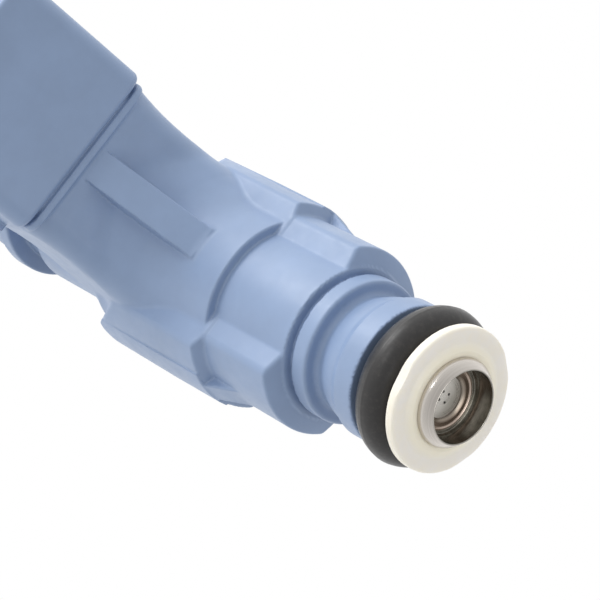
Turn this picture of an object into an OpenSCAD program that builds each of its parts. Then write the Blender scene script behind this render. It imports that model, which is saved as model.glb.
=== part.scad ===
// Top-feed port fuel injector with a moulded plastic body, in millimetres.
// The injector's axis is Z. The spray tip's rim is at z = 0 and the fuel inlet is at the top.
// The electrical connector leans out on the -Y side.

/* [Seals] */
// Distance between the centre planes of the two O-rings
seal_spacing = 60.65; // [60:0.05:61.5]
// Height of the lower O-ring's centre plane above the spray tip
lower_seal_z = 4.9; // [4.8:0.05:5]
// Outside diameter of both O-rings
seal_od = 14.6; // [14.4:0.1:14.6]
// Section diameter of both O-rings
seal_cord = 3.5; // [3.4:0.05:3.5]
// Radius of the retainer washer
washer_r = 6.7; // [6.5:0.05:6.9]
// Thickness of the retainer washer at its rim
washer_t = 0.95; // [0.8:0.05:1.1]

/* [Plastic body] */
// Radius of the lower barrel between the ridges
barrel_r = 7.15; // [7.1:0.05:7.3]
// Radius of the upper barrel between the ridges
upper_barrel_r = 8.05; // [7.9:0.05:8.2]
// Radius over the lower ridges
ridge_r = 8.8; // [8.6:0.05:9]
// Radius over the upper ridges
upper_ridge_r = 9.75; // [9.6:0.05:9.85]
// Half width between the flat sides of the lower ridges
ridge_half = 5.5; // [5.3:0.05:5.6]
// Half width between the flat sides of the upper ridges
upper_ridge_half = 5.6; // [5.5:0.05:5.8]
// Height at which the body steps up in size
step_z = 24.8; // [24.6:0.1:25]
// Height at which the upper ridges start to round in
shoulder_z = 39.5; // [39:0.1:40]
// Radius of the plastic neck above the shoulder
neck_r = 7.2; // [7:0.05:7.4]
// Radius of the collar behind the lower O-ring
collar_r = 6.55; // [6.5:0.05:6.6]

/* [Connector] */
// Lean of the connector away from the injector's axis, in degrees
conn_lean = 66; // [64:1:68]
// Distance along the connector's axis to its rim
conn_reach = 31; // [30:0.5:32]
// Outside width of the connector shroud
shroud_w = 17.4; // [17:0.1:18]
// Outside height of the connector shroud
shroud_h = 12.6; // [12.4:0.1:13]
// Wall of the connector shroud
shroud_wall = 1.5; // [1.4:0.1:1.6]
// Distance between the centres of the two terminals
pin_pitch = 5; // [4.8:0.1:5.2]
// Width of the gusset under the connector
gusset_w = 3.2; // [2.8:0.1:3.4]

/* [Valve] */
// Lift of the needle between its seat and the core
needle_lift = 0.08; // [0.06:0.01:0.09]
// Radius of the valve ball
ball_r = 1.75; // [1.7:0.05:1.8]
// Radius of each spray hole
spray_hole_r = 0.125; // [0.1:0.005:0.15]
// Distance between neighbouring spray holes
spray_pitch = 0.78; // [0.7:0.02:0.9]
// Number of turns in the return spring
spring_turns = 8; // [6:1:9]

/* [Hidden] */
$fn = 96;
eps = 0.01;

// seals and the metal tubes that they sit on
seat_r = seal_od / 2 - seal_cord;
upper_seal_z = lower_seal_z + seal_spacing;
tube_top_z = upper_seal_z + 4.8;
lip_r = seat_r + 0.6;
lip_t = 1;
support_top_z = upper_seal_z - seal_cord / 2 - 0.6;
support_z = support_top_z - 2.8;
support_r = 6.5;

// nose of the valve body
nose_r = 4.1;
nose_len = 1.3;
nose_round = 0.55;
mouth_r = 3.33;
seat_bore_r = 2.9;
body_bore_r = 2.4;
seat_bore_top = 8.2;

// retainer washer: its hub stands forward of its rim
washer_z = 1.56;
hub_r = 4.95;
washer_round = 0.2;
washer_flats = [-15.5, 118, -154.5];
flat_depth = 0.2;

// spray end, from the plate to the cone seat
plate_z = 2.47;
plate_t = 0.28;
plate_r = 2.85;
disc_ring_z = 2.14;
disc_ring_bore = 1.9;
disc_ring_chamfer = 0.4;
seat_apex_z = 2.35;
sac_r = 0.9;
seat_gap = 0.005;
ball_z = seat_apex_z + ball_r * sqrt(2) + seat_gap;
guide_z = seat_apex_z + 2.1;
guide_t = 0.75;
guide_gap = 0.03;
spray_turn = -12.5;

// needle, armature and spring
stem_r = 1.5;
stem_bore = 1;
armature_r = 3.55;
armature_gap = 0.05;
armature_z = 23.2;
armature_top = 30.5;
pocket_r = 1.95;
pocket_z = 26.6;
pole_z = armature_top + needle_lift + 0.01;
core_bore = 2.05;
spring_top = 40;
spring_r = 1.45;
spring_wire = 0.25;
spring_steps = 18;
spring_sides = 6;

// steps of the valve body inside the plastic
valve_step_z = 14;
valve_mid_r = 4.6;
flange_z = 23;
flange_r = 5.2;
coil_floor_z = 25;
sleeve_z = 29;
sleeve_top = 33.5;
sleeve_r = 4.5;

// solenoid
shell_r = 7;
shell_wall = 0.6;
shell_floor = 1.2;
shell_top = 37.2;
yoke_t = 1.8;
bobbin_z = coil_floor_z + shell_floor;
bobbin_top = shell_top - yoke_t;
bobbin_flange = 0.8;
bobbin_r = 5;
winding_r = 6.1;

// plastic body, from the collar up
collar_z = 7.1;
collar_top = 9.35;
boss_z = 12.9;
boss_r = 6.72;
groove_z = 14.65;
groove_w = 0.6;
groove_r = 6.2;
ridge_front_z = 15.9;
window_top_z = 33.5;
shoulder_corner = [8.85, 43.5];
shoulder_end = 41.2;
shoulder_tilt = 41.5;
ridge_top_z = 45.6;
neck_z = 43.6;
clip_groove_z = 51.6;
clip_groove_w = 3.2;
clip_groove_r = 6.3;
clip_flange_r = 7.9;
plastic_top = support_z;

// parting ribs along the sides of the ridges
part_rib_half = 2.7;
part_rib_r = 9.9;
seam_w = 0.3;
seam_depth = 0.25;
fin_half = 1.3;
fin_foot_z = 20.6;

// connector
conn_z = 36.7;
root_w = 15.5;
root_h = 10.2;
root_round = 2.2;
flare_z = 31.4;
flare_slope = 1.2;
flare_h = 6;
shoulder_s = 15.4;
shoulder_rib = 1.1;
socket_s = 17.5;
shroud_round = 1.6;
blade_w = 2.8;
blade_t = 0.8;
blade_end = conn_reach - 3.2;
leg_w = 1.6;
leg_t = 0.6;
leg_y = -4.9;
leg_z = bobbin_top - bobbin_flange;
gusset_foot = [8.1, 28.85];
gusset_head = [16, 37.85];
latch_w = 5;
latch_h = 1.1;

// inlet filter
filter_bore = 2.7;
filter_z = 57;
filter_collar_z = 66.8;
filter_ring_z = 68.5;
filter_ring_bore = 2.3;

// Outline of a rectangle with rounded corners, centred on the origin
function rounded(w, h, r, steps = 6) = [
    for (corner = [0:3], i = [0:steps])
        let (
            a = 90 * corner + 90 * i / steps,
            sx = (corner == 0 || corner == 3) ? 1 : -1,
            sy = corner < 2 ? 1 : -1
        )
        [sx * (w / 2 - r) + r * cos(a), sy * (h / 2 - r) + r * sin(a)]
];

// Arc of points about a centre, from one angle to another
function arc(c, r, a0, a1, steps = 8) = [
    for (i = [0:steps])
        let (a = a0 + (a1 - a0) * i / steps)
        [c[0] + r * cos(a), c[1] + r * sin(a)]
];

// Solid of revolution from [radius, height] points
module lathe(points) {
    rotate_extrude()
        polygon(points);
}

module tube(r_out, r_in, z, h) {
    translate([0, 0, z])
        difference() {
            cylinder(r = r_out, h = h);
            translate([0, 0, -eps])
                cylinder(r = r_in, h = h + 2 * eps);
        }
}

// Moves its children so that +Z runs out along the connector and +Y is its upper side
module on_connector() {
    translate([0, 0, conn_z])
        rotate([conn_lean, 0, 0])
            children();
}

// Round core of the plastic body, with its stepped neck below and rail neck above
module barrel() {
    lathe(concat(
        [
            [0, collar_z],
            [collar_r, collar_z],
            [collar_r, collar_top],
            [collar_r - 0.25, collar_top + 0.1]
        ],
        arc([collar_r - 1.6, collar_top + 0.6], 1.25, 10, 50, 4),
        [
            [5.15, boss_z],
            [boss_r - 0.3, boss_z],
            [boss_r, boss_z + 0.3],
            [boss_r, groove_z],
            [groove_r, groove_z],
            [groove_r, groove_z + groove_w],
            [barrel_r, groove_z + groove_w],
            [barrel_r, step_z],
            [upper_barrel_r, step_z],
            [upper_barrel_r, window_top_z],
            [upper_barrel_r + 0.6, window_top_z + 1.6],
            [upper_barrel_r + 0.6, shoulder_z + 0.7],
            [neck_r + 0.4, neck_z - 1.2],
            [neck_r, neck_z],
            [neck_r, clip_groove_z - 0.4],
            [neck_r - 0.4, clip_groove_z],
            [clip_groove_r, clip_groove_z],
            [clip_groove_r, clip_groove_z + clip_groove_w],
            [clip_flange_r, clip_groove_z + clip_groove_w],
            [clip_flange_r, clip_groove_z + clip_groove_w + 1.6],
            [neck_r, clip_groove_z + clip_groove_w + 2.4],
            [neck_r, plastic_top - 1],
            [support_r, plastic_top],
            [0, plastic_top]
        ]
    ));
}

// Two ridge blocks with flat sides, cut from one turned profile
module ridges(half, points) {
    intersection() {
        lathe(points);
        translate([-15, -half, 0])
            cube([30, 2 * half, 60]);
    }
}

// Space under the slanted plane that ends the upper ridges
module below_shoulder() {
    translate([0, 0, shoulder_end])
        rotate([shoulder_tilt, 0, 0])
            translate([-15, -30, -60])
                cube([30, 60, 60]);
}

// Rib along the mould's parting line, with a ramp that runs down onto the lower ridge
module parting_rib() {
    rib = [
        [0, step_z],
        [part_rib_r, step_z],
        [part_rib_r, shoulder_z],
        [part_rib_r - 0.5, shoulder_z + 0.6],
        shoulder_corner + [0.35, -1.2],
        shoulder_corner + [0.1, -0.1],
        [0, shoulder_corner[1] - 0.1]
    ];
    intersection() {
        lathe(rib);
        translate([-15, -part_rib_half, 0])
            cube([30, 2 * part_rib_half, 60]);
    }
    ramp = [
        [0, fin_foot_z],
        [ridge_r - 0.25, fin_foot_z],
        [ridge_r + 0.2, fin_foot_z + 1.5],
        [part_rib_r - 0.15, step_z + eps],
        [0, step_z + eps]
    ];
    for (side = [0, 180])
        rotate([90, 0, side])
            translate([0, 0, -fin_half])
                linear_extrude(2 * fin_half)
                    polygon(ramp);
}

module seam_grooves() {
    x = sqrt(pow(upper_ridge_r, 2) - pow(part_rib_half, 2));
    for (sx = [-1, 1], sy = [-1, 1])
        translate([sx * x, sy * part_rib_half, (step_z + shoulder_z) / 2])
            cube([2 * seam_depth, seam_w, shoulder_z - step_z + 0.4], center = true);
}

// Arm that carries the connector
module connector_root() {
    on_connector()
        linear_extrude(shoulder_s + eps)
            polygon(rounded(root_w, root_h, root_round));
}

// Part of a cone that widens the barrel up into the connector's arm
module flare() {
    intersection() {
        lathe([
            [0, flare_z - flare_slope],
            [upper_barrel_r - 1, flare_z - flare_slope],
            [upper_barrel_r + flare_h / flare_slope, flare_z + flare_h],
            [0, flare_z + flare_h]
        ]);
        on_connector()
            translate([-root_w / 2, -20, 0.3])
                cube([root_w, 40, 20]);
    }
}

module connector_shroud() {
    on_connector() {
        translate([0, 0, shoulder_s])
            linear_extrude(shoulder_rib)
                polygon(rounded(shroud_w - 1, shroud_h - 0.8, shroud_round));
        translate([0, 0, shoulder_s + shoulder_rib - eps])
            linear_extrude(conn_reach - shoulder_s - shoulder_rib + eps)
                polygon(rounded(shroud_w, shroud_h, shroud_round));
        latch();
        guide_ribs();
    }
}

// Ramp on top of the shroud that the plug's latch clicks over
module latch() {
    z0 = conn_reach - 7.5;
    ramp = [[0, z0], [latch_h, z0], [latch_h, z0 + 0.8], [0.2, conn_reach - 3], [0, conn_reach - 3]];
    rotate([90, 0, 90])
        translate([0, 0, -latch_w / 2])
            linear_extrude(latch_w)
                polygon([for (p = ramp) [shroud_h / 2 - eps + p[0], p[1]]]);
}

// Keying ribs along the outside of the shroud
module guide_ribs() {
    rib_s = shoulder_s + shoulder_rib;
    for (sx = [-1, 1])
        translate([sx * (shroud_w / 2 + 0.3), 0, (rib_s + conn_reach - 2) / 2])
            cube([0.8, 2.4, conn_reach - 2 - rib_s], center = true);
}

module gusset() {
    side = [
        gusset_foot - [3, -0.4],
        gusset_foot,
        gusset_head,
        gusset_head - [0, -2.5],
        gusset_foot - [3, -9]
    ];
    rotate([90, 0, -90])
        translate([0, 0, -gusset_w / 2])
            linear_extrude(gusset_w)
                polygon(side);
}

// Room inside the plastic for the metal pieces that it is moulded round
module metal_room() {
    lathe([
        [0, 0],
        [seat_r, 0],
        [seat_r, valve_step_z],
        [valve_mid_r, valve_step_z],
        [valve_mid_r, flange_z],
        [flange_r, flange_z],
        [flange_r, coil_floor_z],
        [shell_r, coil_floor_z],
        [shell_r, shell_top],
        [seat_r, shell_top],
        [seat_r, tube_top_z],
        [0, tube_top_z]
    ]);
}

module overmold_body() {
    lower_ridge = [
        [0, groove_z + groove_w],
        [barrel_r - 0.3, groove_z + groove_w],
        [ridge_r, ridge_front_z],
        [ridge_r, step_z + eps],
        [0, step_z + eps]
    ];
    upper_ridge = [
        [0, step_z],
        [upper_ridge_r, step_z],
        [upper_ridge_r, shoulder_z],
        [upper_ridge_r - 0.4, shoulder_z + 0.55],
        shoulder_corner + [0.3, -1.2],
        shoulder_corner,
        [neck_r, ridge_top_z],
        [0, ridge_top_z]
    ];
    color([0.55, 0.64, 0.80])
        difference() {
            union() {
                barrel();
                ridges(ridge_half, lower_ridge);
                intersection() {
                    union() {
                        ridges(upper_ridge_half, upper_ridge);
                        parting_rib();
                    }
                    below_shoulder();
                }
                connector_root();
                flare();
                connector_shroud();
                gusset();
            }
            metal_room();
            seam_grooves();
            on_connector()
                translate([0, 0, socket_s])
                    linear_extrude(conn_reach)
                        polygon(rounded(shroud_w - 2 * shroud_wall, shroud_h - 2 * shroud_wall, 0.8));
            terminal(-1);
            terminal(1);
        }
}

// Stainless tube that carries the seat at its nose and guides the armature at its top
module valve_body() {
    color([0.78, 0.77, 0.75])
        lathe([
            [mouth_r, 0],
            [mouth_r + 0.2, 0],
            [nose_r, nose_round],
            [nose_r, nose_len],
            [seat_r, nose_len],
            [seat_r, valve_step_z],
            [valve_mid_r, valve_step_z],
            [valve_mid_r, flange_z],
            [flange_r, flange_z],
            [flange_r, coil_floor_z],
            [sleeve_r, coil_floor_z],
            [sleeve_r, sleeve_z],
            [armature_r + armature_gap, sleeve_z],
            [armature_r + armature_gap, armature_z - 0.6],
            [body_bore_r, armature_z - 1.4],
            [body_bore_r, seat_bore_top],
            [seat_bore_r, seat_bore_top],
            [seat_bore_r, disc_ring_z],
            [mouth_r, disc_ring_z]
        ]);
}

module valve_seat() {
    z0 = plate_z + plate_t;
    color([0.70, 0.70, 0.72])
        lathe([
            [sac_r, z0],
            [seat_bore_r, z0],
            [seat_bore_r, guide_z],
            [guide_z - seat_apex_z, guide_z],
            [sac_r, seat_apex_z + sac_r]
        ]);
}

// Ring that backs the orifice plate at the bottom of the nose recess
module spray_disc_ring() {
    color([0.75, 0.60, 0.50])
        lathe([
            [disc_ring_bore, plate_z],
            [disc_ring_bore, disc_ring_z + 0.2],
            [disc_ring_bore + disc_ring_chamfer, disc_ring_z],
            [seat_bore_r, disc_ring_z],
            [seat_bore_r, plate_z]
        ]);
}

module orifice_plate() {
    color([0.82, 0.80, 0.76])
        difference() {
            translate([0, 0, plate_z])
                cylinder(r = plate_r, h = plate_t);
            rotate([0, 0, spray_turn])
                for (sx = [-1, 1], sy = [-1, 1])
                    translate([sx * spray_pitch / 2, sy * spray_pitch / 2, plate_z - eps])
                        cylinder(r = spray_hole_r, h = plate_t + 2 * eps, $fn = 24);
        }
}

// Disc above the seat that centres the ball and lets fuel past through five slots
module ball_guide() {
    slots = 5;
    color([0.72, 0.72, 0.74])
        difference() {
            tube(seat_bore_r, ball_r + guide_gap, guide_z, guide_t);
            for (i = [0:slots - 1])
                rotate([0, 0, i * 360 / slots])
                    translate([0, -0.35, guide_z - eps])
                        cube([2.4, 0.7, guide_t + 2 * eps]);
        }
}

module valve_ball() {
    color([0.85, 0.85, 0.86])
        translate([0, 0, ball_z])
            sphere(r = ball_r);
}

module needle_tube() {
    foot = ball_z + 0.6;
    color([0.75, 0.75, 0.76])
        difference() {
            tube(stem_r, stem_bore, foot, pocket_z - foot);
            translate([0, 0, ball_z])
                sphere(r = ball_r);
            for (z = [9.5, 20], turn = [0, 90])
                rotate([90, 0, turn])
                    translate([0, z, -2])
                        cylinder(r = 0.45, h = 4, $fn = 32);
        }
}

module armature() {
    color([0.60, 0.60, 0.61])
        lathe([
            [stem_r, armature_z],
            [armature_r - 0.3, armature_z],
            [armature_r, armature_z + 0.3],
            [armature_r, armature_top],
            [pocket_r, armature_top],
            [pocket_r, pocket_z],
            [stem_r, pocket_z]
        ]);
}

// Wire helix with closed rings of points joined into one skin
module return_spring() {
    z0 = pocket_z + spring_wire;
    rise = spring_top - spring_wire - z0;
    rings = spring_turns * spring_steps;
    points = [
        for (i = [0:rings], k = [0:spring_sides - 1])
            let (
                a = 360 * i / spring_steps,
                b = 360 * k / spring_sides,
                r = spring_r + spring_wire * cos(b)
            )
            [r * cos(a), r * sin(a), z0 + rise * i / rings + spring_wire * sin(b)]
    ];
    sides = [
        for (i = [0:rings - 1], k = [0:spring_sides - 1])
            let (
                next = (k + 1) % spring_sides,
                here = i * spring_sides,
                above = here + spring_sides
            )
            [here + k, above + k, above + next, here + next]
    ];
    foot = [for (k = [0:spring_sides - 1]) k];
    head = [for (k = [0:spring_sides - 1]) rings * spring_sides + spring_sides - 1 - k];
    color([0.55, 0.55, 0.57])
        polyhedron(points, concat([foot], sides, [head]));
}

module adjusting_sleeve() {
    color([0.70, 0.69, 0.66])
        tube(core_bore, 1, spring_top, 6);
}

// Fuel inlet and magnetic core in one piece, with a rolled lip above the O-ring
module inlet_tube() {
    color([0.72, 0.72, 0.73])
        lathe([
            [core_bore, pole_z],
            [seat_r, pole_z],
            [seat_r, tube_top_z - lip_t],
            [lip_r, tube_top_z - lip_t + 0.3],
            [lip_r, tube_top_z - 0.3],
            [lip_r - 0.3, tube_top_z],
            [filter_bore, tube_top_z],
            [filter_bore, filter_z - 0.8],
            [core_bore, filter_z - 1.6]
        ]);
}

module nonmagnetic_sleeve() {
    color([0.80, 0.79, 0.76])
        tube(sleeve_r, seat_r, sleeve_z, sleeve_top - sleeve_z);
}

module solenoid_shell() {
    color([0.66, 0.66, 0.65])
        lathe([
            [sleeve_r, coil_floor_z],
            [shell_r, coil_floor_z],
            [shell_r, shell_top],
            [shell_r - shell_wall, shell_top],
            [shell_r - shell_wall, bobbin_z],
            [sleeve_r, bobbin_z]
        ]);
}

// Steel plate that closes the shell, with a notch for the terminals
module yoke_washer() {
    color([0.62, 0.62, 0.62])
        difference() {
            tube(shell_r - shell_wall, seat_r, bobbin_top, yoke_t);
            translate([-3.7, -8, bobbin_top - eps])
                cube([7.4, 8 + leg_y + 0.7, yoke_t + 2 * eps]);
        }
}

module coil_bobbin() {
    flange = shell_r - shell_wall - 0.05;
    color([0.16, 0.16, 0.17])
        difference() {
            lathe([
                [sleeve_r + 0.05, bobbin_z],
                [flange, bobbin_z],
                [flange, bobbin_z + bobbin_flange],
                [bobbin_r, bobbin_z + bobbin_flange],
                [bobbin_r, bobbin_top - bobbin_flange],
                [flange, bobbin_top - bobbin_flange],
                [flange, bobbin_top],
                [sleeve_r + 0.05, bobbin_top]
            ]);
            terminal(-1);
            terminal(1);
        }
}

module coil_winding() {
    z0 = bobbin_z + bobbin_flange;
    color([0.72, 0.38, 0.18])
        tube(winding_r, bobbin_r, z0, bobbin_top - bobbin_flange - z0);
}

// Leg up from the bobbin, then a blade out into the connector
module terminal(side) {
    knee = -leg_y / sin(conn_lean);
    x = side * pin_pitch / 2;
    translate([x - leg_w / 2, leg_y - leg_t / 2, leg_z])
        cube([leg_w, leg_t, conn_z + knee * cos(conn_lean) - leg_z]);
    on_connector() {
        translate([x - blade_w / 2, -blade_t / 2, knee - 0.6])
            cube([blade_w, blade_t, blade_end - knee]);
        translate([x - blade_w / 2 + 0.4, -blade_t / 4, blade_end - 0.6 - eps])
            cube([blade_w - 0.8, blade_t / 2, 0.6]);
    }
}

module terminal_left() {
    color([0.83, 0.82, 0.78])
        terminal(-1);
}

module terminal_right() {
    color([0.83, 0.82, 0.78])
        terminal(1);
}

// Plastic cage of the inlet filter
module filter_frame() {
    ribs = 4;
    color([0.90, 0.88, 0.80])
        union() {
            translate([0, 0, filter_z])
                cylinder(r = 2.4, h = 0.8);
            for (i = [0:ribs - 1])
                rotate([0, 0, i * 360 / ribs])
                    translate([1.95, -0.3, filter_z])
                        cube([0.45, 0.6, filter_collar_z - filter_z + eps]);
            tube(filter_bore, 1.95, filter_collar_z, filter_ring_z - filter_collar_z);
        }
}

module filter_mesh() {
    color([0.78, 0.77, 0.70])
        tube(1.95, 1.85, filter_z + 0.8, filter_collar_z - filter_z - 0.8);
}

module filter_ring() {
    color([0.80, 0.64, 0.30])
        tube(filter_bore, filter_ring_bore, filter_ring_z, tube_top_z - 0.4 - filter_ring_z);
}

module o_ring(z) {
    color([0.07, 0.07, 0.07])
        translate([0, 0, z])
            rotate_extrude()
                translate([(seal_od - seal_cord) / 2, 0])
                    circle(d = seal_cord, $fn = 48);
}

module upper_o_ring() {
    o_ring(upper_seal_z);
}

module lower_o_ring() {
    o_ring(lower_seal_z);
}

module upper_support_ring() {
    color([0.14, 0.14, 0.15])
        lathe([
            [seat_r, support_z],
            [support_r, support_z],
            [support_r, support_top_z - 0.4],
            [support_r - 0.4, support_top_z],
            [seat_r, support_top_z]
        ]);
}

// Soft plastic washer that keeps the lower O-ring on the nose
module retainer_washer() {
    back = washer_z + washer_t;
    color([0.91, 0.89, 0.80, 0.9])
        difference() {
            lathe([
                [seat_r, nose_len],
                [hub_r - 0.35, nose_len],
                [hub_r, washer_z],
                [washer_r - washer_round, washer_z],
                [washer_r, washer_z + washer_round],
                [washer_r, back - washer_round],
                [washer_r - washer_round, back],
                [seat_r, back]
            ]);
            for (turn = washer_flats)
                rotate([0, 0, turn])
                    translate([-2, -washer_r - 2 + flat_depth, 0])
                        cube([4, 2, 4]);
        }
}

overmold_body();
valve_body();
valve_seat();
spray_disc_ring();
orifice_plate();
ball_guide();
valve_ball();
needle_tube();
armature();
return_spring();
adjusting_sleeve();
inlet_tube();
nonmagnetic_sleeve();
solenoid_shell();
yoke_washer();
coil_bobbin();
coil_winding();
terminal_left();
terminal_right();
filter_frame();
filter_mesh();
filter_ring();
upper_o_ring();
upper_support_ring();
lower_o_ring();
retainer_washer();
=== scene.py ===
"""Looks of a top-feed fuel injector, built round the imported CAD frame. Lengths are in millimetres."""

import math

import bpy
import numpy as np
from mathutils import Matrix, Vector


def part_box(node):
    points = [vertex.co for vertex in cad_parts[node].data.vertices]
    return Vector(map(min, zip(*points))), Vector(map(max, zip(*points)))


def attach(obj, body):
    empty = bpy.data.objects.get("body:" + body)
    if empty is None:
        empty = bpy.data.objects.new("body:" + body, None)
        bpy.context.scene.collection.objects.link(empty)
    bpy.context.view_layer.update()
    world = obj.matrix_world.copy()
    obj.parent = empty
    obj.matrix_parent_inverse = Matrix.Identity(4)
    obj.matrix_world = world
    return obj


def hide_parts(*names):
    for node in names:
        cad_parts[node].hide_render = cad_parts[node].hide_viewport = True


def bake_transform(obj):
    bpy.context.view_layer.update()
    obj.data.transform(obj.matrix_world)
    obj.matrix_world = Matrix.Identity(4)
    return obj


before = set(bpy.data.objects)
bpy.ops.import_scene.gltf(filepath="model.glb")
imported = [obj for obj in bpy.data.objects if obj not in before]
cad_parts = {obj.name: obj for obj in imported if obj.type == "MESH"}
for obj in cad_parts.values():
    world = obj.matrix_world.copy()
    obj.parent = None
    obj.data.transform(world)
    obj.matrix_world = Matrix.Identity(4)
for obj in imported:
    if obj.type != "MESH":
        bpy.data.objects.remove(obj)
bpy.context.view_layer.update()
MM = 0.001
HOUSING = "housing"


def node_span(node):
    """Lowest and highest height of a CAD node, in millimetres."""
    low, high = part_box(node)
    return low.z / MM, high.z / MM


# ---------------------------------------------------------------- sizes
COLLAR_Z, _ = node_span("overmold_body")
SUPPORT_Z, SUPPORT_TOP = node_span("upper_support_ring")
WASHER_Z, WASHER_BACK = node_span("retainer_washer")
TUBE_Z, TUBE_TOP = node_span("inlet_tube")
SPRING_Z, SPRING_TOP = node_span("return_spring")
SHELL_Z, SHELL_TOP = node_span("solenoid_shell")
RING_Z, PLATE_Z = node_span("spray_disc_ring")

# moulded body; profiles close a little past the axis
AXIS = -1.0
COLLAR_R = 6.55
COLLAR_TOP = 9.35
BOSS_Z = 12.9
BOSS_R = 6.72
WAIST_R = 5.15
GROOVE_Z = 14.65
GROOVE_TOP = 15.25
GROOVE_R = 6.2
BARREL_R = 7.15
STEP_Z = 24.8
UPPER_R = 8.05
WINDOW_TOP = 33.5
RIDGE_R = 8.8
RIDGE_FOOT_R = 8.68
RIDGE_HALF = 5.5
RIDGE_FRONT = 15.9
UPPER_RIDGE_R = 9.75
UPPER_RIDGE_HALF = 5.62
SHOULDER_Z = 39.5
SHOULDER_END = 41.2
SHOULDER_TILT = math.radians(41.5)
SHOULDER_BEND = (7.6, 42.4)
NECK_R = 7.2
NECK_Z = 43.6
RIDGE_TOP_Z = 46.3
PARTING_R = 9.9
PARTING_HALF = 2.7
PARTING_TOP = 43.4
FIN_HALF = 1.3
FIN_FOOT_Z = 20.6
CLIP_Z = 51.6
CLIP_TOP = 54.8
CLIP_R = 6.3
CLIP_FLANGE_R = 7.9
COLLAR_END_R = 6.5
BODY_PITCH = 0.22

# connector
CONN_Z = 36.7
CONN_LEAN = math.radians(66)
ROOT_W, ROOT_H = 15.5, 10.2
ROOT_ROUND = 2.2
WIDEN_S = 10
WIDEN_BY = 0.5
FLARE_Z = 31.4
FLARE_SLOPE = 1.2
SHOULDER_S = 15.4
SHOULDER_RIB = 1.1
SHROUD_W, SHROUD_H = 17.4, 12.6
SHROUD_ROUND = 1.6
SHROUD_WALL = 1.5
CONN_REACH = 31.0
SOCKET_S = 17.5
LATCH_HALF = 2.5
KEY_PROUD, KEY_HALF = 0.7, 1.2
GUSSET_HALF = 1.6
GUSSET_ROOT_R = 5.25
GUSSET_FOOT = (8.1, 28.85)
GUSSET_HEAD = (16.0, 37.85)
GUSSET_TOP = 41.0

# metal and seals
SEAT_R = 3.8
NOSE_R = 4.1
MOUTH_R = 3.33
SEAT_BORE_R = 2.9
SEAT_BORE_TOP = 8.2
VALVE_STEP_Z, VALVE_STEP_R = 14.0, 4.6
VALVE_WIDE_Z, VALVE_WIDE_R = 23.0, 5.2
TUBE_LIP_R = 4.4
TUBE_BORE_R, FILTER_BORE_R = 2.05, 2.7
SEAL_CORD = 3.5
SEAL_OD = 14.6
WASHER_R = 6.7
HUB_R = 4.95
WASHER_RIM_Z = 1.56
WASHER_FLATS = (-15.5, 118.0, -154.5)
FLAT_DEPTH = 0.2
FLAT_REACH = 25
SPRING_R, SPRING_WIRE, SPRING_TURNS = 1.45, 0.25, 8


# ---------------------------------------------------------------- outlines
def rounded_outline(corners, steps=5):
    """Closed outline from (radius, height, rounding) corners."""
    points = []
    count = len(corners)
    for i, (r, z, rounding) in enumerate(corners):
        here = Vector((r, z))
        if not rounding:
            points.append((r, z))
            continue
        before = (Vector(corners[i - 1][:2]) - here).normalized()
        after = (Vector(corners[(i + 1) % count][:2]) - here).normalized()
        half = before.angle(after) / 2
        reach = rounding / math.tan(half)
        centre = here + (before + after).normalized() * (rounding / math.sin(half))
        start = here + before * reach - centre
        turn = start.angle_signed(here + after * reach - centre)
        for k in range(steps + 1):
            a = -turn * k / steps
            spoke = Matrix.Rotation(a, 2) @ start
            points.append(tuple(centre + spoke))
    return points


# ---------------------------------------------------------------- distance fields
def outline_distance(u, v, outline):
    """Signed distance to a closed outline, negative inside it."""
    best = np.full(u.shape, 1e9)
    inside = np.zeros(u.shape, bool)
    for (u0, v0), (u1, v1) in zip(outline, outline[1:] + outline[:1]):
        du, dv = u1 - u0, v1 - v0
        t = np.clip(((u - u0) * du + (v - v0) * dv) / (du * du + dv * dv + 1e-12), 0, 1)
        best = np.minimum(best, (u - u0 - t * du) ** 2 + (v - v0 - t * dv) ** 2)
        if dv:
            crosses = (v0 <= v) != (v1 <= v)
            inside ^= crosses & (u < u0 + (v - v0) / dv * du)
    return np.where(inside, -1.0, 1.0) * np.sqrt(best)


class Section:
    """A flat outline's signed distance, tabulated once and read by interpolation."""

    STEP = 0.05

    def __init__(self, outline, margin=3.0):
        low = np.min(outline, axis=0) - margin
        high = np.max(outline, axis=0) + margin
        self.low = low
        self.count = np.ceil((high - low) / self.STEP).astype(int) + 1
        u = low[0] + self.STEP * np.arange(self.count[0])
        v = low[1] + self.STEP * np.arange(self.count[1])
        grid = np.meshgrid(u, v, indexing="ij")
        self.table = outline_distance(grid[0], grid[1], list(outline))

    def at(self, u, v):
        """Signed distance at arrays of positions in the outline's plane."""
        fu = np.clip((u - self.low[0]) / self.STEP, 0, self.count[0] - 1.001)
        fv = np.clip((v - self.low[1]) / self.STEP, 0, self.count[1] - 1.001)
        iu, iv = fu.astype(np.int32), fv.astype(np.int32)
        fu, fv = fu - iu, fv - iv
        t = self.table
        near = t[iu, iv] * (1 - fu) + t[iu + 1, iv] * fu
        far = t[iu, iv + 1] * (1 - fu) + t[iu + 1, iv + 1] * fu
        return near * (1 - fv) + far * fv


def soft_union(a, b, blend):
    """Two fields joined, with a fillet where they meet."""
    h = np.clip(0.5 + 0.5 * (b - a) / blend, 0, 1)
    return b + (a - b) * h - blend * h * (1 - h)


def soft_cut(a, b, blend):
    """The part of a that is also in b, with its edges rounded."""
    return -soft_union(-a, -b, blend)


def slab(w, half):
    """The space within half of the plane w = 0."""
    return np.abs(w) - half


def rounded_box(u, v, width, height, rounding):
    """Endless bar with a rounded rectangle as its cross-section."""
    du = np.abs(u) - (width / 2 - rounding)
    dv = np.abs(v) - (height / 2 - rounding)
    outside = np.hypot(np.maximum(du, 0), np.maximum(dv, 0))
    return outside + np.minimum(np.maximum(du, dv), 0) - rounding


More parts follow.
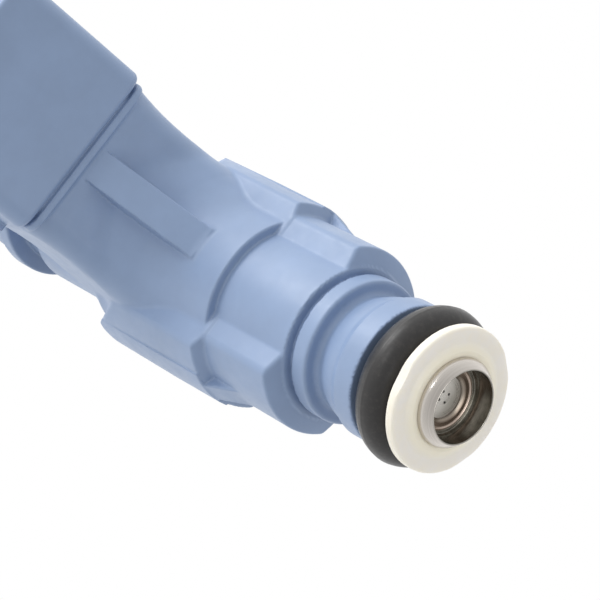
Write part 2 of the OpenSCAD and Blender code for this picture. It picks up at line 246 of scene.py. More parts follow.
BARREL = Section(rounded_outline([
    (AXIS, COLLAR_Z, 0), (COLLAR_R, COLLAR_Z, 0.12), (COLLAR_R, COLLAR_TOP - 0.1, 0.25),
    (6.16, COLLAR_TOP + 0.6, 1.2), (6.02, COLLAR_TOP + 1.5, 5.0),
    (WAIST_R, BOSS_Z, 0.5), (BOSS_R, BOSS_Z, 0.32), (BOSS_R, GROOVE_Z, 0.1),
    (GROOVE_R, GROOVE_Z, 0.1), (GROOVE_R, GROOVE_TOP, 0.1), (BARREL_R, GROOVE_TOP, 0.15),
    (BARREL_R, STEP_Z, 0.12), (UPPER_R, STEP_Z, 0.2), (UPPER_R, WINDOW_TOP, 1.2),
    (UPPER_R + 0.6, WINDOW_TOP + 1.6, 1.2), (UPPER_R + 0.6, SHOULDER_Z + 0.7, 0.8),
    (*SHOULDER_BEND, 0.8), (NECK_R, NECK_Z, 0.8),
    (NECK_R, CLIP_Z - 0.4, 0.1), (NECK_R - 0.4, CLIP_Z, 0.1),
    (CLIP_R, CLIP_Z, 0.2), (CLIP_R, CLIP_TOP, 0.2), (CLIP_FLANGE_R, CLIP_TOP, 0.2),
    (CLIP_FLANGE_R, CLIP_TOP + 1.6, 0.3), (NECK_R, CLIP_TOP + 2.4, 0.4), (NECK_R, SUPPORT_Z - 1, 0.3),
    (COLLAR_END_R, SUPPORT_Z, 0.12), (AXIS, SUPPORT_Z, 0),
]))
LOWER_RIDGE = Section(rounded_outline([
    (AXIS, GROOVE_TOP, 0), (BARREL_R - 0.3, GROOVE_TOP, 0.1), (RIDGE_R, RIDGE_FRONT, 0.25),
    (RIDGE_FOOT_R, STEP_Z + 0.2, 0), (AXIS, STEP_Z + 0.2, 0),
]))
UPPER_RIDGE = Section(rounded_outline([
    (AXIS, STEP_Z - 0.6, 0), (RIDGE_FOOT_R - 0.1, STEP_Z - 0.6, 0.3), (UPPER_RIDGE_R, STEP_Z, 0.2),
    (UPPER_RIDGE_R, SHOULDER_Z, 0.1), (UPPER_RIDGE_R - 0.42, SHOULDER_Z + 0.55, 0.2),
    (9.15, 42.3, 0.8), (8.85, 43.5, 0.8), (7.3, 45.5, 0.8),
    (NECK_R - 0.1, RIDGE_TOP_Z, 0), (AXIS, RIDGE_TOP_Z, 0),
]))
PARTING_RIB = Section(rounded_outline([
    (AXIS, STEP_Z - 0.05, 0), (PARTING_R, STEP_Z - 0.05, 0.15), (PARTING_R, 31.0, 3.0),
    (PARTING_R - 0.12, SHOULDER_Z, 0.1), (PARTING_R - 0.52, SHOULDER_Z + 0.6, 0.1),
    (9.2, 42.3, 0.8), (8.95, PARTING_TOP, 0.1), (AXIS, PARTING_TOP, 0),
]))
RAMP_FIN = Section([
    (0, FIN_FOOT_Z), (RIDGE_R - 0.25, FIN_FOOT_Z), (9.0, 22.1),
    (PARTING_R - 0.15, STEP_Z), (PARTING_R - 0.15, STEP_Z + 0.3), (0, STEP_Z + 0.3),
])
GUSSET = Section(rounded_outline([
    (GUSSET_ROOT_R, GUSSET_FOOT[1], 0), (*GUSSET_FOOT, 0), (*GUSSET_HEAD, 0),
    (GUSSET_HEAD[0], GUSSET_TOP, 0), (GUSSET_ROOT_R, GUSSET_TOP, 0),
]))
FLARE = Section([
    (AXIS, FLARE_Z - FLARE_SLOPE), (UPPER_R - 1, FLARE_Z - FLARE_SLOPE),
    (UPPER_R + 5, FLARE_Z + 5 * FLARE_SLOPE), (AXIS, FLARE_Z + 5 * FLARE_SLOPE),
])
# the plastic leaves this space to the metal parts, from below the tip to above the inlet
METAL_ROOM = Section([
    (AXIS, -1.0), (SEAT_R, -1.0), (SEAT_R, VALVE_STEP_Z), (VALVE_STEP_R, VALVE_STEP_Z),
    (VALVE_STEP_R, VALVE_WIDE_Z), (VALVE_WIDE_R, VALVE_WIDE_Z), (VALVE_WIDE_R, SHELL_Z),
    (7.0, SHELL_Z), (7.0, SHELL_TOP), (SEAT_R, SHELL_TOP), (SEAT_R, 80.0), (AXIS, 80.0),
])
LATCH = Section([
    (SHROUD_H / 2 - 0.5, CONN_REACH - 7.5), (SHROUD_H / 2 + 1.1, CONN_REACH - 7.5),
    (SHROUD_H / 2 + 1.1, CONN_REACH - 6.7), (SHROUD_H / 2 + 0.15, CONN_REACH - 3),
    (SHROUD_H / 2 - 0.5, CONN_REACH - 3),
])


def moulded_body(p):
    """Signed distance to the plastic body at an array of points."""
    x, y, z = p[..., 0], p[..., 1], p[..., 2]
    rho = np.hypot(x, y)
    # s runs out along the connector's arm and n across it
    s = -math.sin(CONN_LEAN) * y + math.cos(CONN_LEAN) * (z - CONN_Z)
    n = math.cos(CONN_LEAN) * y + math.sin(CONN_LEAN) * (z - CONN_Z)

    body = BARREL.at(rho, z)
    flare = soft_cut(soft_cut(FLARE.at(rho, z), slab(x, ROOT_W / 2), 1.6), 0.3 - s, 0.2)
    body = soft_union(body, flare, 2.2)
    widen = WIDEN_BY * np.clip((s - WIDEN_S) / (SHOULDER_S - WIDEN_S), 0, 1) ** 2
    arm = rounded_box(x, n, ROOT_W, ROOT_H, ROOT_ROUND) - widen
    root = soft_cut(arm, s - SHOULDER_S - 1.5, 0.2)
    body = soft_union(body, soft_cut(root, -s, 0.2), 0.3)

    lower = soft_cut(LOWER_RIDGE.at(rho, z), slab(y, RIDGE_HALF), 0.4)
    end = math.cos(SHOULDER_TILT) * (z - SHOULDER_END) - math.sin(SHOULDER_TILT) * y
    upper = soft_cut(soft_cut(UPPER_RIDGE.at(rho, z), slab(y, UPPER_RIDGE_HALF), 0.35), end, 0.4)
    parting = soft_cut(soft_cut(PARTING_RIB.at(rho, z), slab(y, PARTING_HALF), 0.08), end, 0.15)
    fin = soft_cut(RAMP_FIN.at(np.abs(x), z), slab(y, FIN_HALF), 0.15)
    body = soft_union(body, lower, 0.12)
    body = soft_union(body, upper, 0.25)
    body = np.minimum(body, parting)
    body = soft_union(body, fin, 0.15)
    gusset = soft_cut(GUSSET.at(-y, z), slab(x, GUSSET_HALF), 0.15)
    foot_blend = 0.12 + 0.3 * np.clip((FLARE_Z - z) / 2, 0, 1)
    body = soft_union(body, soft_cut(gusset, n, 0.2), foot_blend)

    rib = soft_cut(
        rounded_box(x, n, SHROUD_W - 1, SHROUD_H - 0.8, SHROUD_ROUND),
        slab(s - SHOULDER_S - 0.4, 0.4), 0.3)
    middle = (SHOULDER_S + SHOULDER_RIB + CONN_REACH) / 2
    shroud = soft_cut(
        rounded_box(x, n, SHROUD_W, SHROUD_H, SHROUD_ROUND), slab(s - middle, CONN_REACH - middle), 0.6)
    body = soft_union(body, rib, 0.2)
    body = soft_union(body, shroud, 0.15)
    body = soft_union(body, soft_cut(LATCH.at(n, s), slab(x, LATCH_HALF), 0.2), 0.15)
    keys = soft_cut(slab(np.abs(x) - SHROUD_W / 2, KEY_PROUD), slab(n, KEY_HALF), 0.2)
    body = soft_union(body, soft_cut(keys, slab(s - middle + 1, CONN_REACH - middle - 1), 0.2), 0.15)

    socket = rounded_box(x, n, SHROUD_W - 2 * SHROUD_WALL, SHROUD_H - 2 * SHROUD_WALL, 0.8)
    body = soft_cut(body, -soft_cut(socket, SOCKET_S - s, 0.2), 0.25)
    return np.maximum(body, -METAL_ROOM.at(rho, z))


def gradient(field, points, step=0.02):
    """Slope of a field at an array of points, by central differences."""
    slopes = []
    for axis in range(3):
        shift = np.zeros(3)
        shift[axis] = step
        slopes.append((field(points + shift) - field(points - shift)) / (2 * step))
    return np.stack(slopes, axis=-1)


def skin(field, low, high, pitch, layers=24):
    """Vertices and four-cornered faces of a field's zero surface, by naive surface nets.

    The field is read in batches of some layers of cells, to keep memory small.
    """
    count = np.ceil((np.array(high) - low) / pitch).astype(int) + 1
    axes = [low[i] + pitch * np.arange(count[i]) for i in range(3)]
    values = np.empty(count, np.float32)
    for k in range(0, count[2], layers):
        heights = axes[2][k:k + layers]
        grid = np.stack(np.meshgrid(axes[0], axes[1], heights, indexing="ij"), axis=-1)
        values[:, :, k:k + layers] = field(grid)
    inside = values < 0

    corners = [(i, j, k) for i in (0, 1) for j in (0, 1) for k in (0, 1)]
    cells = tuple(c - 1 for c in count)

    def at(array, corner):
        """The array at one corner of every cell."""
        return array[tuple(slice(o, o + m) for o, m in zip(corner, cells))]

    filled = sum(at(inside, c).astype(np.int8) for c in corners)
    cell = np.argwhere((filled > 0) & (filled < 8))
    index = np.full(cells, -1, np.int32)
    index[tuple(cell.T)] = np.arange(len(cell))

    total = np.zeros((len(cell), 3))
    crossings = np.zeros(len(cell))
    for a in corners:
        for axis in range(3):
            if a[axis]:
                continue
            b = tuple(v + (i == axis) for i, v in enumerate(a))
            fa = values[tuple((cell + a).T)]
            fb = values[tuple((cell + b).T)]
            hit = (fa < 0) != (fb < 0)
            t = np.where(hit, fa / np.where(hit, fa - fb, 1), 0)
            point = np.array(a, float) + t[:, None] * (np.array(b) - np.array(a))
            total += point * hit[:, None]
            crossings += hit
    vertices = low + pitch * (cell + total / crossings[:, None])

    faces = []
    for axis in range(3):
        u, v = (axis + 1) % 3, (axis + 2) % 3
        ahead = [slice(None)] * 3
        behind = [slice(None)] * 3
        ahead[axis], behind[axis] = slice(1, None), slice(None, -1)
        change = inside[tuple(behind)].astype(np.int8) - inside[tuple(ahead)]
        edge = np.argwhere(change != 0)
        edge = edge[(edge[:, u] > 0) & (edge[:, v] > 0)]
        edge = edge[(edge[:, u] < cells[u]) & (edge[:, v] < cells[v])]
        out = change[tuple(edge.T)] > 0
        around = []
        for du, dv in ((1, 1), (0, 1), (0, 0), (1, 0)):
            corner = edge.copy()
            corner[:, u] -= du
            corner[:, v] -= dv
            around.append(index[tuple(corner.T)])
        quad = np.stack(around, axis=-1)
        faces.append(np.where(out[:, None], quad, quad[:, ::-1]))
    return vertices, np.concatenate(faces)


def settle(field, vertices, pitch, rounds=4):
    """Moves vertices onto the field's zero surface."""
    for _ in range(rounds):
        slope = gradient(field, vertices)
        size = np.sum(slope ** 2, axis=-1) + 0.05
        move = slope * (field(vertices) / size)[:, None]
        length = np.linalg.norm(move, axis=-1, keepdims=True)
        vertices = vertices - move * np.minimum(1, 0.4 * pitch / (length + 1e-9))
    return vertices


# ---------------------------------------------------------------- pieces
SHARP_ANGLE = math.radians(50)


def make_piece(name, vertices, faces, body, replaced, slot, material):
    mesh = bpy.data.meshes.new(name)
    vertices = np.asarray(vertices, float) * MM
    mesh.from_pydata([tuple(v) for v in vertices], [], [tuple(int(i) for i in f) for f in faces])
    mesh.validate()
    mesh.polygons.foreach_set("use_smooth", [True] * len(mesh.polygons))
    mesh.materials.append(material)
    piece = bpy.data.objects.new(name, mesh)
    bpy.context.scene.collection.objects.link(piece)
    if body is not None:
        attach(piece, body)
    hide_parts(*replaced)
    return piece


def lathe_mesh(outline, segments):
    """Vertices and faces of an outline turned about the Z axis."""
    count = len(outline)
    turns = 2 * np.pi * np.arange(segments) / segments
    r = np.array([p[0] for p in outline])
    z = np.array([p[1] for p in outline])
    x, y = np.outer(np.cos(turns), r), np.outer(np.sin(turns), r)
    vertices = np.stack([x, y, np.tile(z, (segments, 1))], axis=-1).reshape(-1, 3)
    ring, point = np.meshgrid(np.arange(segments), np.arange(count), indexing="ij")
    after, onward = (ring + 1) % segments, (point + 1) % count
    faces = np.stack([
        ring * count + point, after * count + point,
        after * count + onward, ring * count + onward], axis=-1)
    return vertices, faces.reshape(-1, 4)


def turned_piece(name, corners, node, slot, material, segments=192, shape=None):
    """A piece of revolution for a CAD node. Corners run anticlockwise in (radius, height)."""
    vertices, faces = lathe_mesh(rounded_outline(corners, steps=4), segments)
    if shape is not None:
        vertices = shape(vertices)
    piece = make_piece(name, vertices, faces, HOUSING, [node], slot, material)
    split = piece.modifiers.new("edges", "EDGE_SPLIT")
    split.split_angle = SHARP_ANGLE


# ---------------------------------------------------------------- materials
def set_range(node, low, high, to_low, to_high):
    """Fills in a Map Range node."""
    for key, number in (("From Min", low), ("From Max", high), ("To Min", to_low), ("To Max", to_high)):
        node.inputs[key].default_value = number


class Surface:
    """A procedural material whose textures are laid out in millimetres of the piece's own space."""

    def __init__(self, name, base, roughness, metallic=0.0):
        self.material = bpy.data.materials.new(name)
        self.material.use_nodes = True
        self.tree = self.material.node_tree
        self.shader = self.tree.nodes["Principled BSDF"]
        self.shader.inputs["Base Color"].default_value = (*base, 1)
        self.shader.inputs["Roughness"].default_value = roughness
        self.shader.inputs["Metallic"].default_value = metallic
        coordinates = self.node("ShaderNodeTexCoord")
        in_millimetres = self.node("ShaderNodeVectorMath", operation="SCALE")
        in_millimetres.inputs["Scale"].default_value = 1 / MM
        self.link(coordinates.outputs["Object"], in_millimetres.inputs[0])
        self.place = in_millimetres.outputs["Vector"]
        self.normal = None

    def node(self, kind, **settings):
        made = self.tree.nodes.new(kind)
        for key, value in settings.items():
            setattr(made, key, value)
        return made

    def link(self, source, target):
        self.tree.links.new(source, target)

    def set(self, **values):
        """Constant values on the shader's own sockets."""
        for key, value in values.items():
            self.shader.inputs[key.replace("_", " ")].default_value = value

    def maths(self, operation, *inputs):
        made = self.node("ShaderNodeMath", operation=operation)
        for socket, value in zip(made.inputs, inputs):
            self.feed(value, socket)
        return made.outputs[0]

    def feed(self, value, socket):
        """Gives a socket a link or a constant."""
        if isinstance(value, bpy.types.NodeSocket):
            self.link(value, socket)
        else:
            socket.default_value = value

    def split(self):
        made = self.node("ShaderNodeSeparateXYZ")
        self.link(self.place, made.inputs[0])
        return made.outputs

    def radius(self):
        """Distance from the injector's axis, in millimetres."""
        x, y, _ = self.split()
        squares = self.maths("ADD", self.maths("MULTIPLY", x, x), self.maths("MULTIPLY", y, y))
        return self.maths("SQRT", squares)

    def turned(self, around=0.02):
        """Texture space whose marks run round the axis, as a lathe leaves them."""
        x, y, z = self.split()
        made = self.node("ShaderNodeCombineXYZ")
        angle = self.maths("ARCTAN2", y, x)
        self.link(self.radius(), made.inputs[0])
        self.link(z, made.inputs[1])
        self.link(self.maths("MULTIPLY", angle, around), made.inputs[2])
        return made.outputs[0]

    def noise(self, scale, detail=3.0, roughness=0.55, place=None):
        made = self.node("ShaderNodeTexNoise")
        self.link(place or self.place, made.inputs["Vector"])
        made.inputs["Scale"].default_value = scale
        made.inputs["Detail"].default_value = detail
        made.inputs["Roughness"].default_value = roughness
        return made.outputs["Fac"]

    def ramp(self, value, stops):
        made = self.node("ShaderNodeValToRGB")
        elements = made.color_ramp.elements
        while len(elements) < len(stops):
            elements.new(0.5)
        for element, (position, colour) in zip(elements, stops):
            element.position = position
            element.color = (*colour, 1)
        self.link(value, made.inputs[0])
        return made.outputs[0]

    def span(self, value, low, high, to_low, to_high):
        """Maps the range low to high onto to_low to to_high."""
        made = self.node("ShaderNodeMapRange")
        self.link(value, made.inputs["Value"])
        set_range(made, low, high, to_low, to_high)
        return made.outputs["Result"]

    def mix(self, factor, first, second):
        """Mixes two colours: a Mix node's sockets 6 and 7 are colours A and B, and output 2 the colour."""
        made = self.node("ShaderNodeMix", data_type="RGBA", blend_type="MIX")
        self.feed(factor, made.inputs["Factor"])
        for key, value in ((6, first), (7, second)):
            if not isinstance(value, bpy.types.NodeSocket):
                value = (*value, 1)
            self.feed(value, made.inputs[key])
        return made.outputs[2]

    def colour(self, socket):
        self.link(socket, self.shader.inputs["Base Color"])

    def rough(self, socket):
        self.link(socket, self.shader.inputs["Roughness"])

    def bump(self, height, strength, distance):
        """Adds a bump, its distance in millimetres, on top of any earlier one."""
        made = self.node("ShaderNodeBump")
        made.inputs["Strength"].default_value = strength
        made.inputs["Distance"].default_value = distance * MM
        self.link(height, made.inputs["Height"])
        if self.normal is not None:
            self.link(self.normal, made.inputs["Normal"])
        self.normal = made.outputs["Normal"]
        self.link(self.normal, self.shader.inputs["Normal"])


def shade(colour, factor):
    """A colour made lighter or darker."""
    return tuple(min(1.0, c * factor) for c in colour)


def moulded_plastic(name, base, roughness, speck=0.06):
    """Satin moulded plastic: cloudy flow, fine spark-eroded grain and a few rubbed places."""
    s = Surface(name, base, roughness)
    cloud = s.noise(0.16, 4.0, 0.6)
    s.colour(s.mix(s.span(cloud, 0.3, 0.7, 0, 1), shade(base, 1 - speck), shade(base, 1 + speck)))
    s.rough(s.span(s.noise(0.9, 5.0, 0.65), 0.3, 0.75, roughness - 0.07, roughness + 0.09))
    s.bump(s.noise(14.0, 3.0, 0.7), 0.5, 0.012)
    s.bump(s.noise(0.7, 3.0, 0.5), 0.25, 0.03)
    s.set(Specular_IOR_Level=0.42)
    return s


def turned_metal(name, base, roughness, lines=6.0, depth=0.004, variation=0.12):
    """Metal with the fine rings of a lathe tool, slightly cloudy with handling."""
    s = Surface(name, base, roughness, 1.0)
    rings = s.noise(lines, 4.0, 0.7, s.turned())
    cloud = s.noise(0.6, 4.0, 0.6)
    dark, light = shade(base, 1 - variation), shade(base, 1 + variation / 2)
    s.clean = s.mix(s.span(rings, 0.3, 0.7, 0, 1), dark, light)
    s.colour(s.clean)
    tooled = s.span(rings, 0.3, 0.7, roughness - 0.06, roughness + 0.08)
    handled = s.span(cloud, 0.35, 0.7, -0.03, 0.05)
    s.rough(s.maths("ADD", tooled, handled))
    s.bump(rings, 0.6, depth)
    return s


PLASTIC = moulded_plastic("blue_moulding", (0.240, 0.330, 0.505), 0.46)
PLASTIC.set(Specular_IOR_Level=0.7)
NOSE = turned_metal("turned_stainless", (0.64, 0.60, 0.555), 0.20)
INNER_STEEL = turned_metal("ground_steel", (0.60, 0.59, 0.58), 0.28, lines=9.0)
MAGNETIC = turned_metal("magnetic_steel", (0.50, 0.50, 0.50), 0.34)
TINTED = turned_metal("heat_tinted_steel", (0.72, 0.52, 0.40), 0.26, lines=7.0)
PLATE = turned_metal("spray_plate_steel", (0.80, 0.77, 0.72), 0.30, lines=3.0)
BALL = turned_metal("polished_ball", (0.80, 0.80, 0.81), 0.08, lines=2.0, depth=0.001, variation=0.03)
SPRING = turned_metal("drawn_wire", (0.42, 0.42, 0.44), 0.35)
COPPER = turned_metal("enamelled_copper", (0.72, 0.33, 0.16), 0.30, lines=8.0)
TINNED = turned_metal("tin_plate", (0.76, 0.72, 0.62), 0.32, lines=1.5)
FILTER_BRASS = turned_metal("filter_brass", (0.78, 0.58, 0.26), 0.28)
BLACK = moulded_plastic("black_moulding", (0.022, 0.022, 0.024), 0.48, speck=0.2)
CREAM = moulded_plastic("filter_plastic", (0.82, 0.77, 0.62), 0.50)
NYLON_MESH = moulded_plastic("mesh_nylon", (0.72, 0.70, 0.60), 0.55)

# the bore behind the mouth is darkened with blotchy painted shade
bore = NOSE.span(NOSE.radius(), MOUTH_R + 0.02, MOUTH_R + 0.14, 0, 1)
painted_bore_shade = NOSE.ramp(NOSE.noise(1.2, 4.0, 0.6), [(0.3, (0.22, 0.21, 0.18)), (0.7, (0.40, 0.38, 0.34))])
NOSE.colour(NOSE.mix(bore, painted_bore_shade, NOSE.clean))
round_the_axis = NOSE.node("ShaderNodeTangent", direction_type="RADIAL", axis="Z")
NOSE.link(round_the_axis.outputs[0], NOSE.shader.inputs["Tangent"])
NOSE.set(Anisotropic=0.5)

# heat tint on the ring round the orifice plate: straw, brown and a pale copper weld bead
tint_place = TINTED.span(TINTED.radius(), 1.85, 2.95, 0, 1)
TINTED.colour(TINTED.ramp(tint_place, [
    (0.0, (0.20, 0.18, 0.16)), (0.2, (0.40, 0.34, 0.28)),
    (0.35, (0.18, 0.14, 0.11)), (0.6, (0.24, 0.18, 0.14)),
    (0.78, (0.66, 0.54, 0.46)), (0.9, (0.42, 0.33, 0.27)), (1.0, (0.22, 0.19, 0.16)),
]))

RUBBER = Surface("seal_rubber", (0.030, 0.029, 0.029), 0.46)
dust = RUBBER.noise(2.2, 6.0, 0.7)
dusty = RUBBER.span(dust, 0.5, 0.8, 0, 0.5)
RUBBER.colour(RUBBER.mix(dusty, (0.026, 0.025, 0.025), (0.075, 0.068, 0.062)))
RUBBER.rough(RUBBER.span(RUBBER.noise(3.0, 4.0, 0.6), 0.3, 0.7, 0.33, 0.44))
RUBBER.bump(RUBBER.noise(9.0, 4.0, 0.7), 0.4, 0.012)
RUBBER.set(Specular_IOR_Level=0.5)

# ivory nylon, whiter across the middle of its face, and it lets some light through
WASHER = Surface("washer_nylon", (0.84, 0.80, 0.68), 0.42)
across = WASHER.span(WASHER.radius(), 3.8, 6.75, 0, 1)
milky = WASHER.ramp(across, [
    (0.0, (0.98, 0.87, 0.70)), (0.36, (0.98, 0.89, 0.76)), (0.56, (0.95, 0.89, 0.83)),
    (0.84, (0.95, 0.89, 0.84)), (0.96, (0.98, 0.89, 0.79)), (1.0, (0.98, 0.89, 0.78)),
])
patches = WASHER.span(WASHER.noise(0.8, 4.0, 0.6), 0.35, 0.7, 0, 0.5)
WASHER.colour(WASHER.mix(patches, milky, (0.98, 0.88, 0.74)))
WASHER.rough(WASHER.span(WASHER.noise(1.5, 4.0, 0.6), 0.3, 0.7, 0.36, 0.50))
WASHER.bump(WASHER.noise(5.0, 3.0, 0.6), 0.3, 0.01)
WASHER.set(
    Subsurface_Weight=0.6, Subsurface_Radius=(1.0, 1.0, 1.0), Subsurface_Scale=0.4 * MM,
    Specular_IOR_Level=0.5)


# ---------------------------------------------------------------- plastic body
def build_body():
    """The moulding's outer skin, with normals taken from the field itself."""
    low, high = (np.array(c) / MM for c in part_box("overmold_body"))
    margin = 3 * BODY_PITCH
    vertices, faces = skin(moulded_body, low - margin, high + margin, BODY_PITCH)
    vertices = settle(moulded_body, vertices, BODY_PITCH)
    normals = gradient(moulded_body, vertices)
    normals /= np.linalg.norm(normals, axis=-1, keepdims=True) + 1e-9
    piece = make_piece(
        "body_moulding", vertices, faces, HOUSING, ["overmold_body"], "body_plastic", PLASTIC.material)
    piece.data.normals_split_custom_set_from_vertices([tuple(n) for n in normals])


build_body()

# ---------------------------------------------------------------- nose, seals and washer
turned_piece("nose_tube", [
    (MOUTH_R, 0.0, 0.06), (MOUTH_R + 0.14, 0.0, 0.08), (NOSE_R, 0.85, 0.9),
    (NOSE_R, WASHER_Z, 0.02), (SEAT_R, WASHER_Z, 0.02),
    (SEAT_R, VALVE_STEP_Z, 0), (VALVE_STEP_R, VALVE_STEP_Z, 0), (VALVE_STEP_R, VALVE_WIDE_Z, 0),
    (VALVE_WIDE_R, VALVE_WIDE_Z, 0), (VALVE_WIDE_R, 25.0, 0), (4.5, 25.0, 0), (4.5, 29.0, 0),
    (3.6, 29.0, 0), (3.6, 22.6, 0), (2.4, 21.8, 0), (2.4, SEAT_BORE_TOP, 0),
    (SEAT_BORE_R, SEAT_BORE_TOP, 0), (SEAT_BORE_R, RING_Z - 0.06, 0.05),
    (MOUTH_R - 0.12, RING_Z - 0.02, 0.05), (MOUTH_R, RING_Z - 0.3, 0.08),
], "valve_body", "nose_steel", NOSE.material, segments=256)

turned_piece("weld_ring", [
    (1.9, PLATE_Z, 0), (1.9, RING_Z + 0.22, 0.05), (2.25, RING_Z + 0.02, 0.08),
    (2.6, RING_Z, 0.05), (2.72, RING_Z - 0.09, 0.06),
    (SEAT_BORE_R, RING_Z - 0.09, 0.06), (SEAT_BORE_R, PLATE_Z, 0),
], "spray_disc_ring", "tinted_steel", TINTED.material)


def seal(name, node, height):
    """O-ring with the faint raised line that its mould leaves round the outside."""
    middle = (SEAL_OD - SEAL_CORD) / 2
    around, flash_height, flash_width = 96, 0.03, 0.07
    corners = []
    for i in range(around):
        a = 2 * math.pi * i / around
        from_line = math.sin(a) * SEAL_CORD / 2 / flash_width
        flash = flash_height * math.exp(-from_line ** 2) * (math.cos(a) > 0)
        r = SEAL_CORD / 2 + flash
        corners.append((middle + r * math.cos(a), height + r * math.sin(a), 0))
    turned_piece(name, corners, node, "seal_rubber", RUBBER.material, segments=256)


seal("nose_seal", "lower_o_ring", sum(node_span("lower_o_ring")) / 2)
seal("rail_seal", "upper_o_ring", sum(node_span("upper_o_ring")) / 2)


def washer_shape(vertices):
    """Shallow flats round the washer's rim, at angles in degrees from the front (-Y)."""
    out = vertices.copy()
    angle = np.degrees(np.arctan2(vertices[:, 1], vertices[:, 0])) + 90
    radius = np.hypot(vertices[:, 0], vertices[:, 1])
    for turn in WASHER_FLATS:
        off = (angle - turn + 180) % 360 - 180
        limit = (WASHER_R - FLAT_DEPTH) / np.maximum(np.cos(np.radians(off)), 0.2)
        near = np.abs(off) < FLAT_REACH
        scale = np.where(near & (radius > limit), limit / np.maximum(radius, 1e-6), 1)
        out[:, :2] *= scale[:, None]
    return out


turned_piece("nose_washer", [
    (SEAT_R, WASHER_Z, 0.05), (HUB_R - 0.35, WASHER_Z, 0.4),
    (HUB_R + 0.35, WASHER_RIM_Z - 0.02, 0.6), (WASHER_R - 0.02, WASHER_RIM_Z, 0.22),
    (WASHER_R, WASHER_BACK, 0.22), (SEAT_R, WASHER_BACK, 0.05),
], "retainer_washer", "washer_plastic", WASHER.material, segments=360, shape=washer_shape)

# ---------------------------------------------------------------- inlet end
turned_piece("inlet_pipe", [
    (TUBE_BORE_R, TUBE_Z, 0.05), (SEAT_R, TUBE_Z, 0.05), (SEAT_R, TUBE_TOP - 1.0, 0.1),
    (TUBE_LIP_R, TUBE_TOP - 0.7, 0.12), (TUBE_LIP_R, TUBE_TOP, 0.35), (FILTER_BORE_R, TUBE_TOP, 0.3),
    (FILTER_BORE_R, 56.2, 0), (TUBE_BORE_R, 55.4, 0),
], "inlet_tube", "magnetic_steel", MAGNETIC.material)

turned_piece("support_collar", [
    (SEAT_R, SUPPORT_Z, 0.05), (COLLAR_END_R, SUPPORT_Z, 0.15),
    (COLLAR_END_R, SUPPORT_TOP, 0.4), (SEAT_R, SUPPORT_TOP, 0.05),
], "upper_support_ring", "support_plastic", BLACK.material)

# ---------------------------------------------------------------- return spring
def wire_helix(around=48, sides=12):
    """Vertices and faces of the spring's wire, from its lower end to its upper end."""
    rings = SPRING_TURNS * around
    step = np.arange(rings + 1)
    turn = 2 * np.pi * step / around
    side = 2 * np.pi * np.arange(sides) / sides
    reach = SPRING_R + SPRING_WIRE * np.cos(side)
    middle = SPRING_Z + SPRING_WIRE + (SPRING_TOP - SPRING_Z - 2 * SPRING_WIRE) * step / rings
    vertices = np.stack([
        np.outer(np.cos(turn), reach), np.outer(np.sin(turn), reach),
        middle[:, None] + SPRING_WIRE * np.sin(side)], axis=-1).reshape(-1, 3)
    here, k = np.meshgrid(np.arange(rings) * sides, np.arange(sides), indexing="ij")
    after = (k + 1) % sides
    faces = np.stack([
        here + k, here + sides + k, here + sides + after, here + after], axis=-1).reshape(-1, 4)
    ends = [range(sides), reversed(range(rings * sides, (rings + 1) * sides))]
    return vertices, list(faces) + [list(end) for end in ends]


spring = make_piece(
    "return_spring_coil", *wire_helix(), None, ["return_spring"], "spring_steel", SPRING.material)
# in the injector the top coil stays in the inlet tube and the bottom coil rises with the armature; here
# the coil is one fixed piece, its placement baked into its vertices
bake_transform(spring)

# ---------------------------------------------------------------- carried-over CAD nodes
CARRIED = {
    "valve_seat": ("seat_steel", INNER_STEEL),
    "orifice_plate": ("plate_steel", PLATE),
    "ball_guide": ("seat_steel", INNER_STEEL),
    "valve_ball": ("ball_steel", BALL),
    "needle_tube": ("seat_steel", INNER_STEEL),
    "armature": ("magnetic_steel", MAGNETIC),
    "adjusting_sleeve": ("seat_steel", INNER_STEEL),
    "nonmagnetic_sleeve": ("seat_steel", INNER_STEEL),
    "solenoid_shell": ("magnetic_steel", MAGNETIC),
    "yoke_washer": ("magnetic_steel", MAGNETIC),
    "coil_bobbin": ("bobbin_plastic", BLACK),
    "coil_winding": ("copper_wire", COPPER),
    "terminal_left": ("tinned_brass", TINNED),
    "terminal_right": ("tinned_brass", TINNED),
    "filter_frame": ("filter_plastic", CREAM),
    "filter_mesh": ("mesh_nylon", NYLON_MESH),
    "filter_ring": ("filter_brass", FILTER_BRASS),
}
for node, (slot, surface) in CARRIED.items():
    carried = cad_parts[node]
    carried.data.materials.clear()
    carried.data.materials.append(surface.material)

# ---------------------------------------------------------------- stage
CAMERA_BACK = Vector((-0.1623, -0.7114, -0.6840))
CAMERA_UP = Vector((0.7881, -0.5107, 0.3439))
LOOK_AT = Vector((-1.0, -11.1, 12.2))
CAMERA_RIGHT = CAMERA_UP.cross(CAMERA_BACK)
CAMERA_AWAY = 300.0
SENSOR_WIDTH, LENS = 36, 213.3
FLOOR_HALF, FLOOR_Z = 3.0, -0.30
# the world's light grows from the dim side to the bright side, which is this way
BRIGHT_WAY = CAMERA_UP * 0.33 - CAMERA_RIGHT * 0.42 - CAMERA_BACK * 0.68
DIM_SIDE, BRIGHT_SIDE = 0.5, 1.4
LIGHT_AWAY = 0.6


def stage_floor():
    """Pale floor well below the tip, in metres. It's seen, and it doesn't bounce light onto the tip."""
    mesh = bpy.data.meshes.new("floor")
    corners = [(-1, -1), (1, -1), (1, 1), (-1, 1)]
    mesh.from_pydata([(FLOOR_HALF * x, FLOOR_HALF * y, FLOOR_Z) for x, y in corners], [], [(0, 1, 2, 3)])
    surface = Surface("pale_floor", (0.86, 0.86, 0.86), 0.7)
    surface.rough(surface.span(surface.noise(0.02, 3.0), 0.3, 0.7, 0.65, 0.8))
    mesh.materials.append(surface.material)
    floor = bpy.data.objects.new("floor", mesh)
    bpy.context.scene.collection.objects.link(floor)
    floor.visible_diffuse = floor.visible_glossy = False


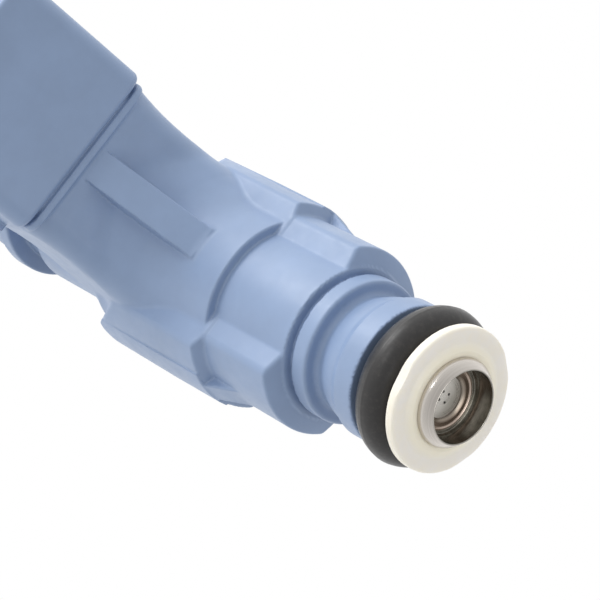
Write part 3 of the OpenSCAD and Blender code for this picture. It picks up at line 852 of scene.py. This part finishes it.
def soft_light(name, direction, away, size, power):
    """Round lamp that looks at the view's middle; away and size are metres."""
    data = bpy.data.lights.new(name, "AREA")
    data.shape = "DISK"
    data.size = size
    data.energy = power
    light = bpy.data.objects.new(name, data)
    way = Vector(direction).normalized()
    light.location = LOOK_AT * MM + way * away
    light.rotation_mode = "QUATERNION"
    light.rotation_quaternion = way.to_track_quat("Z", "Y")
    bpy.context.scene.collection.objects.link(light)


def photo_camera():
    """Long lens from below the tip."""
    data = bpy.data.cameras.new("camera")
    data.sensor_width = SENSOR_WIDTH
    data.lens = LENS
    data.clip_start, data.clip_end = 0.01, 20
    camera = bpy.data.objects.new("camera", data)
    back = CAMERA_BACK.normalized()
    right = CAMERA_UP.cross(back).normalized()
    up = back.cross(right)
    place = Matrix.Translation((LOOK_AT + back * CAMERA_AWAY) * MM)
    camera.matrix_world = place @ Matrix((right, up, back)).transposed().to_4x4()
    bpy.context.scene.collection.objects.link(camera)
    bpy.context.scene.camera = camera


def pale_world():
    """White as seen, and brighter on one side as light."""
    world = bpy.data.worlds.new("studio")
    world.use_nodes = True
    tree = world.node_tree
    tree.nodes.clear()
    path = tree.nodes.new("ShaderNodeLightPath")
    seen = tree.nodes.new("ShaderNodeBackground")
    seen.inputs["Color"].default_value = (1, 1, 1, 1)
    seen.inputs["Strength"].default_value = 1.0
    lit = tree.nodes.new("ShaderNodeBackground")
    lit.inputs["Color"].default_value = (1, 1, 1, 1)
    way = tree.nodes.new("ShaderNodeTexCoord")
    toward = tree.nodes.new("ShaderNodeVectorMath")
    toward.operation = "DOT_PRODUCT"
    toward.inputs[1].default_value = BRIGHT_WAY.normalized()
    fall = tree.nodes.new("ShaderNodeMapRange")
    set_range(fall, -1, 1, DIM_SIDE, BRIGHT_SIDE)
    tree.links.new(way.outputs["Generated"], toward.inputs[0])
    tree.links.new(toward.outputs["Value"], fall.inputs["Value"])
    tree.links.new(fall.outputs["Result"], lit.inputs["Strength"])
    mix = tree.nodes.new("ShaderNodeMixShader")
    out = tree.nodes.new("ShaderNodeOutputWorld")
    tree.links.new(path.outputs["Is Camera Ray"], mix.inputs[0])
    tree.links.new(lit.outputs[0], mix.inputs[1])
    tree.links.new(seen.outputs[0], mix.inputs[2])
    tree.links.new(mix.outputs[0], out.inputs[0])
    bpy.context.scene.world = world


stage_floor()
photo_camera()
pale_world()
soft_light("key", CAMERA_UP * 0.8 - CAMERA_RIGHT * 0.52 + CAMERA_BACK * 0.12, LIGHT_AWAY, 0.36, 1.8)
soft_light("glint", CAMERA_UP * 0.44 - CAMERA_RIGHT * 0.38 + CAMERA_BACK * 0.82, LIGHT_AWAY, 0.08, 0.26)
below_tip = Vector((0, 0, -60)) - LOOK_AT
soft_light("tip_fill", below_tip, below_tip.length * MM, 0.04, 0.009)
bpy.context.scene.view_settings.view_transform = "Standard"
